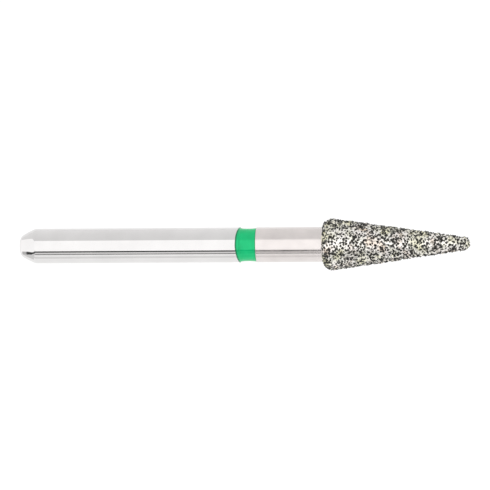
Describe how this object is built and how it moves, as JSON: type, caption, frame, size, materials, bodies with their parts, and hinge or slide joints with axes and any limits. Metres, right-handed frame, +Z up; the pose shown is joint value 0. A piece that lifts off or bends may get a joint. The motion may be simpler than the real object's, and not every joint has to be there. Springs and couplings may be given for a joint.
{
  "type": "dental bur",
  "caption": "Friction grip dental bur: plain steel shank with a green colour ring, a plated neck and a round-ended cone head coated with coarse diamond grit.",
  "frame": {"origin": "on the axis, in the middle of the plain part of the shank that the chuck grips", "axes": "+X along the axis, towards the tip of the head; +Z up"},
  "size_m": [0.0206, 0.0024, 0.0024],
  "materials": {
    "shank_steel": "polished, with fine turning lines",
    "green_lacquer": "glossy",
    "nickel_plate": "satin, electroplated",
    "diamond": "sharp, glossy crystals"
  },
  "bodies": {
    "root": {"steel_blank": "shank_steel", "colour_ring": "green_lacquer", "nickel_bond": "nickel_plate", "diamond_grit": "diamond"}
  },
  "joints": []
}
